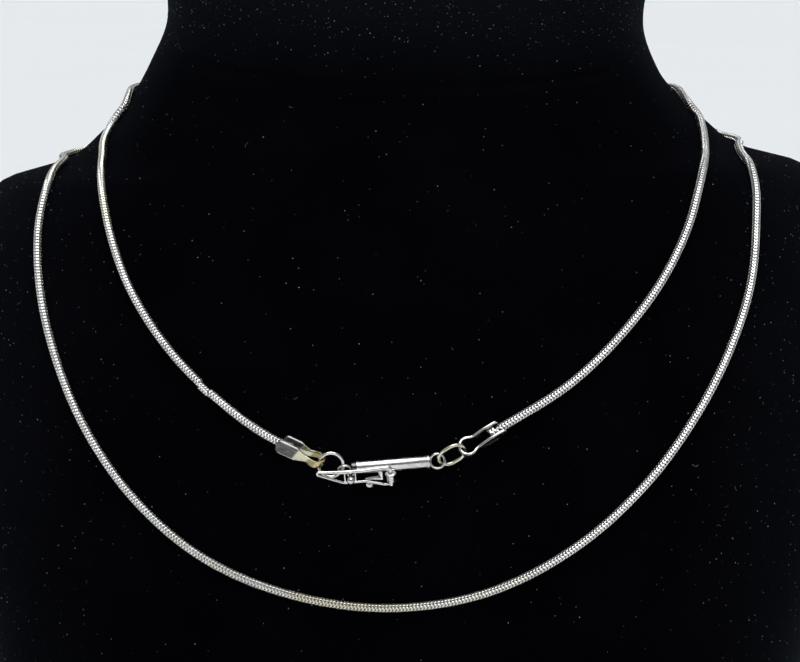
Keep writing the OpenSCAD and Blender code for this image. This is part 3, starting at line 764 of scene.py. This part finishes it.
# ---- Jump ring --------------------------------------------------------------
# A closed ring of round silver wire, threaded through the tongue's loop and the
# eye of the left end cap.
RING_OD = 6.15
RING_WIRE = 0.76
RING_TILT = math.radians(17)
TONGUE_LOOP_OD = 3.4
TONGUE_CAP = 0.95
RING_IN_LOOP = Vector((-0.2, 1.05, 0.5))
RING_STEPS = 72
tongue_loop_x = -FIT_CLEAR - TONGUE_CAP - TONGUE_LOOP_OD / 2 + SOLDER
ring_r = (RING_OD - RING_WIRE) / 2
ring_place = Vector((tongue_loop_x - ring_r, 0, 0)) + RING_IN_LOOP
ring_angles = [2 * math.pi * k / RING_STEPS for k in range(RING_STEPS + 1)]
circle = [(ring_r * Vector((math.cos(a), math.sin(a), 0)), RING_WIRE) for a in ring_angles]
ring_silver = silver("ring_silver", bright=(0.88, 0.86, 0.80, 1))
jump_ring = drawn_wire("jump_ring_wire", [circle], ring_silver)
ring_frame = clasp_frame @ Matrix.Translation(ring_place) @ Matrix.Rotation(RING_TILT, 4, "X")
jump_ring.data.transform(ring_frame)
finish_shading(jump_ring, ring_frame)
place_piece(jump_ring, "body", "warm_silver", "jump_ring")

# ---- Oval link --------------------------------------------------------------
# An oval of slightly yellow silver wire that joins the barrel's loop to the eye
# of the right end cap.
LINK_LENGTH = 7
LINK_WIDTH = 5.8
LINK_WIRE = 0.82
LINK_TURN = math.radians(26)
LINK_PITCH = math.radians(8)
LINK_TILT = math.radians(48)
BARREL_LOOP_OD = 3.7
LINK_IN_LOOP = Vector((0.5, -0.25, 0.35))
LINK_STEPS = 36
barrel_loop_x = BARREL_LENGTH + BARREL_LOOP_OD / 2 - SOLDER
link_r = (LINK_WIDTH - LINK_WIRE) / 2
link_straight = LINK_LENGTH - LINK_WIDTH
link_reach = link_r + link_straight / 2
link_way = link_reach * Vector((math.cos(LINK_TURN), math.sin(LINK_TURN), 0))
link_place = Vector((barrel_loop_x, 0, 0)) + LINK_IN_LOOP + link_way
oval = []
for end in (1, -1):
    for k in range(LINK_STEPS + 1):
        a = math.pi * (k / LINK_STEPS - 0.5)
        x, y = link_straight / 2 + link_r * math.cos(a), link_r * math.sin(a)
        oval.append((end * Vector((x, y, 0)), LINK_WIRE))
oval.append(oval[0])
link_silver = silver("warm_link_silver", bright=(0.84, 0.80, 0.66, 1), dull=(0.40, 0.36, 0.20, 1),
                     rough=(0.16, 0.36))
link_ring = drawn_wire("oval_link_wire", [oval], link_silver)
link_frame = (clasp_frame @ Matrix.Translation(link_place) @ Matrix.Rotation(LINK_TURN, 4, "Z")
              @ Matrix.Rotation(-LINK_PITCH, 4, "Y") @ Matrix.Rotation(LINK_TILT, 4, "X"))
link_ring.data.transform(link_frame)
finish_shading(link_ring, link_frame)
place_piece(link_ring, "body", "warm_silver", "link_ring")

# ---- End caps ---------------------------------------------------------------
# Each end cap is one strip of sheet silver, bent round an eye and closed on the
# chain's end. The left one is seen on its face, with a warm half near the eye and
# beyond it frosted by wear and painted dark, a painted shade, with lighter rims,
# and the right one is seen on its edge.
CAP_LENGTH = 9
CAP_GRIP = 3.4
CAP_EDGE = 0.06
# The eyes' middles, from the end of the oval link and the middle of the ring
EYE_IN_LINK = Vector((0.95, 0.08, -0.12))
EYE_IN_RING = Vector((-3.3, 1.58, 0.15))
# Where each cap's far end points: distance from the middle, share, lift
CAP_LEFT_FAR = (-26.05, 0.4351, 1.1)
CAP_RIGHT_FAR = (23.27, 0.4504, 0.7)
CAP_LEFT_ROLL = math.radians(55)
CAP_RIGHT_ROLL = math.radians(-18)


def cap_frame(eye, far, roll):
    """The frame of an end cap, from its eye towards its far end, rolled about that line."""
    angle = angle_at(far[0], far[1])
    end = on_bust(angle, far[1], far[2] + CHAIN_D / 2 + CHAIN_GAP)
    return frame_x(eye, end - eye, bust_normal(angle, far[1])) @ Matrix.Rotation(roll, 4, "X")


right_eye = clasp_frame @ (link_place + link_way + EYE_IN_LINK)
left_eye = clasp_frame @ (ring_place + EYE_IN_RING)
right_cap_frame = cap_frame(right_eye, CAP_RIGHT_FAR, CAP_RIGHT_ROLL)
left_cap_frame = cap_frame(left_eye, CAP_LEFT_FAR, CAP_LEFT_ROLL)

right_cap_silver = silver("right_cap_silver")
right_cap = rounded_copy("end_cap_right", "right_end_cap_strap", CAP_EDGE, right_cap_silver,
                         right_cap_frame)
place_piece(right_cap, "body", "polished_silver", "end_cap_right")
left_cap_silver, shader, place = new_material("left_cap_silver", Metallic=1.0)
own = own_place(shader)
reach = own.part(0) + own.part(2) * 0.35
smudge = smudges(place)
streak = own.stretched((0.5, 1, 1)).noise(1.6, 4).band(0.4, 0.75)
gold = reach.band(0.9, 1.7).mix((0.36, 0.29, 0.15, 1), (0.74, 0.71, 0.53, 1))
gold = reach.band(-0.9, -0.2).mix((0.66, 0.56, 0.30, 1), gold)
# Painted shade: beyond the warm half near the eye the face is painted dark grey, under soft smudges
# and streaks, and its rims there are lighter.
shade_and_smudges = (smudge * 0.5 + streak * 0.5).mix((0.085, 0.08, 0.078, 1), (0.26, 0.25, 0.24, 1))
bare = reach.band(4.0, 4.5)
rim = abs(own.part(2)).band(1.35, 1.55)
face = bare.mix(gold, shade_and_smudges)
feed(shader,
     Base_Color=(rim * bare).mix(face, (0.80, 0.79, 0.77, 1)),
     Roughness=bare * 0.22 + smudge * 0.12 + 0.2,
     Normal=bumped(streak + smudge, 0.00002))
left_cap = rounded_copy("end_cap_left", "left_end_cap_strap", CAP_EDGE, left_cap_silver,
                        left_cap_frame)
place_piece(left_cap, "body", "polished_silver", "end_cap_left")

# ---- Snake chain ------------------------------------------------------------
# The chain is one row of closed silver links. Each link is a ring of strip bent
# into four waves, so it nests in the next one, and dark holes show where the
# waves turn. It runs from the right end cap twice round the neck to the left.
# Route on the bust: angle from the front, share of the height, lift
ROUTE = [
    (28, 0.490, 0), (37, 0.5375, 0), (44.9, 0.5881, 0), (51.9, 0.6415, 0), (55.4, 0.6682, 0),
    (59.6, 0.690, 0.05), (67.6, 0.7069, 0.05), (74.4, 0.727, 0), (79.5, 0.7415, 0),
    (81.3, 0.7515, 0), (84, 0.760, 0), (89, 0.767, 0), (104, 0.771, 0), (118, 0.772, 0),
    (145, 0.766, 0), (166, 0.757, 0), (180, 0.746, 0), (194, 0.735, 0), (215, 0.729, 0),
    (250, 0.724, 0.1), (255.8, 0.7208, 0.1), (261, 0.7175, 0.1), (261.6, 0.7115, 0),
    (265, 0.7065, 0), (272, 0.705, 0), (279.5, 0.7035, 0), (286.1, 0.6957, 0.15),
    (291.5, 0.6827, 0.15), (295.3, 0.6452, 0), (300, 0.5849, 0), (306, 0.5098, 0),
    (313.1, 0.4342, 0), (321, 0.3701, 0), (331, 0.3167, 0), (345, 0.281, 0), (360, 0.271, 0),
    (374, 0.286, 0), (388, 0.3334, 0), (398, 0.392, 0), (405.9, 0.4554, 0), (412, 0.5131, 0),
    (417.9, 0.579, 0), (422.2, 0.6351, 0), (425.4, 0.6677, 0.15), (428.1, 0.6869, 0.15),
    (433.1, 0.6978, 0), (439.5, 0.7042, 0), (446, 0.707, 0), (453, 0.7085, 0), (457.3, 0.713, 0),
    (458.8, 0.7205, 0), (468, 0.732, 0), (488, 0.740, 0), (526, 0.740, 0.6), (540, 0.747, 2.4),
    (554, 0.758, 0.6), (575, 0.768, 0), (600, 0.774, 0), (615, 0.774, 0), (628, 0.7725, 0),
    (637, 0.767, 0), (640, 0.758, 0), (641.1, 0.7446, 0), (644.9, 0.7291, 0), (651.5, 0.710, 0),
    (658.4, 0.6948, 0), (662.6, 0.6786, 0), (667.1, 0.6452, 0), (673.9, 0.5866, 0),
    (681.9, 0.5278, 0), (691, 0.476, 0),
]
CHAIN_PITCH = 0.765
CHAIN_SINK = 0.42
CAP_OVERRUN = 0.4
WAY_REACH = 0.3
OUT_SHARE = 0.2
# The kink: where it is, how many links to each side it takes in, how far it
# stands aside and crowds together, and how much its links turn
KINK_AT = 973.6
KINK_LINKS = 2
KINK_ASIDE = 0.30
KINK_CROWD = 0.06
KINK_TURN = 0.35
# The loose links: how far they reach, and how much they slip and turn
LOOSE_LENGTH = 2.2
LOOSE_SLIP = 0.2
LOOSE_TURN = 0.6
LOOSE_TILT = 0.5
LOOSE_SEED = 4
cap_in = CAP_LENGTH - CAP_GRIP
cap_out = CAP_LENGTH + CAP_OVERRUN
chain_lift = CHAIN_D / 2 + CHAIN_GAP - CHAIN_SINK
chain_points = [right_cap_frame @ Vector((cap_in, 0, 0)), right_cap_frame @ Vector((cap_out, 0, 0))]
chain_points += [on_bust(math.radians(a), share, lift + chain_lift) for a, share, lift in ROUTE]
chain_points += [left_cap_frame @ Vector((cap_out, 0, 0)), left_cap_frame @ Vector((cap_in, 0, 0))]
last_point = len(chain_points) - 1
spans = [(b - a).length for a, b in zip(chain_points, chain_points[1:])]
marks = [sum(spans[:k]) for k in range(len(spans) + 1)]


def point_way(i):
    """The chain's direction as it passes a point of its route."""
    if i in (0, last_point):
        k = min(i, last_point - 1)
        return (chain_points[k + 1] - chain_points[k]) / spans[k]
    before = (chain_points[i] - chain_points[i - 1]) / spans[i - 1]
    after = (chain_points[i + 1] - chain_points[i]) / spans[i]
    return (before * spans[i] + after * spans[i - 1]) / (spans[i] + spans[i - 1])


point_ways = [point_way(i) for i in range(last_point + 1)]


def chain_at(d):
    """The point of the chain's middle line at that distance along it."""
    i = max(k for k in range(last_point) if k == 0 or marks[k] <= d)
    h = spans[i]
    t = (d - marks[i]) / h
    return ((2 * t**3 - 3 * t**2 + 1) * chain_points[i] + (t**3 - 2 * t**2 + t) * h * point_ways[i]
            + (3 * t**2 - 2 * t**3) * chain_points[i + 1] + (t**3 - t**2) * h * point_ways[i + 1])


def chain_way(d):
    """The chain's direction at that distance, smoothed over a short reach."""
    return (chain_at(min(d + WAY_REACH, marks[-1])) - chain_at(max(d - WAY_REACH, 0))).normalized()


LINK_SEGMENTS = 24
LINK_START = math.radians(22.5)
WAVE = 0.25
WAVE_SHAPE = (1, 1 / 3, -1 / 3, -1, -1 / 3, 1 / 3)
# Strip of a link, on its straights and at the turns of its waves: half its
# width, how far its middle stands in, and its rims' radius as a share
STRAIGHT = (0.36, 0, 0.985)
CORNER = (0.23, 0.07, 0.78)
CREST_OFF = -0.04
TUCK_LENGTH = 0.16
TUCK_SHARE = 0.62
crest_r = CHAIN_D / 2
ring_points, ring_faces = [], []
for k in range(LINK_SEGMENTS):
    a = 2 * math.pi * (k / LINK_SEGMENTS) + LINK_START
    step = k % len(WAVE_SHAPE)
    wave = WAVE * WAVE_SHAPE[step]
    half, pressed_in, rim_share = CORNER if abs(WAVE_SHAPE[step]) == 1 else STRAIGHT
    strip = ((-half, rim_share * crest_r), (CREST_OFF, crest_r - pressed_in),
             (half, rim_share * crest_r), (half + TUCK_LENGTH, TUCK_SHARE * crest_r))
    for z, r in strip:
        ring_points.append((r * math.cos(a), r * math.sin(a), wave + z))
    for j in range(4):
        a1, b1 = 4 * k + j, 4 * k + (j + 1) % 4
        a2, b2 = (a1 + 4) % (4 * LINK_SEGMENTS), (b1 + 4) % (4 * LINK_SEGMENTS)
        ring_faces.append((a1, a2, b2, b1))
chain_link = new_object("chain_link", ring_points, ring_faces)

chain_silver, shader, place = new_material("chain_silver", Metallic=1.0)
tone_shift = place.noise(350, 3).band(0.35, 0.7)
low_front = 1 - place.part(2).band(0.06, 0.085)
high_left = place.part(0).band(-0.045, -0.075) * place.part(2).band(0.12, 0.15)
yellowed = (low_front + high_left) * place.noise(60, 2).band(0.35, 0.65)
plain_silver = tone_shift.mix((0.92, 0.91, 0.89, 1), (0.72, 0.71, 0.68, 1))
feed(shader,
     Base_Color=(yellowed * 0.6).mix(plain_silver, (0.80, 0.74, 0.52, 1)),
     Roughness=tone_shift * 0.12 + 0.2,
     Normal=bumped(place.noise(3000), 0.000015))

linking = GeometryTree("linked_rings", Link=bpy.types.Object, Material=bpy.types.Material)
given = linking.inputs
spots = given["Geometry"]
axes = {"Primary Axis": spots.named("along", "FLOAT_VECTOR"),
        "Secondary Axis": spots.named("outward", "FLOAT_VECTOR")}
turned = spots.node("FunctionNodeAxesToRotation", axes, primary_axis="Z", secondary_axis="X")
shape = spots.node("GeometryNodeObjectInfo", {"Object": given["Link"]}, "Geometry")
strung = spots.node("GeometryNodeInstanceOnPoints",
                    {"Points": spots, "Instance": shape, "Rotation": turned})
linking.ends_in(strung, given["Material"])

random.seed(LOOSE_SEED)
link_count = round(marks[-1] / CHAIN_PITCH)
rows = []
for k in range(link_count):
    d = (k + 0.5) * marks[-1] / link_count
    p, way = chain_at(d), chain_way(d)
    out = Vector((OUT_SHARE * p.x, p.y - BASE_MIDDLE, 0)).normalized()
    side = way.cross(out).normalized()
    bend = (d - KINK_AT) / CHAIN_PITCH
    if abs(bend) < KINK_LINKS:
        p = p + KINK_ASIDE * side - KINK_CROWD * bend * way
        way = (way - KINK_TURN * side).normalized()
    if d < LOOSE_LENGTH:
        p = p + random.uniform(-LOOSE_SLIP, LOOSE_SLIP) * side
        turned_by = random.uniform(-LOOSE_TURN, LOOSE_TURN)
        tilted_by = random.uniform(-LOOSE_TILT, LOOSE_TILT)
        way = (way + turned_by * side + tilted_by * out).normalized()
    rows.append((p, way, out))
CHAIN_PARTS = 2
for part in range(CHAIN_PARTS):
    mine = rows[part * link_count // CHAIN_PARTS:(part + 1) * link_count // CHAIN_PARTS]
    piece = new_object(f"snake_chain_{part + 1}", [row[0] for row in mine], [])
    for column, name in ((1, "along"), (2, "outward")):
        kept = piece.data.attributes.new(name, "FLOAT_VECTOR", "POINT")
        kept.data.foreach_set("vector", [c for row in mine for c in row[column]])
    linking.applied_to(piece, Link=chain_link, Material=chain_silver)
    place_piece(piece, "body", "chain_silver", "chain")
bpy.data.objects.remove(chain_link)
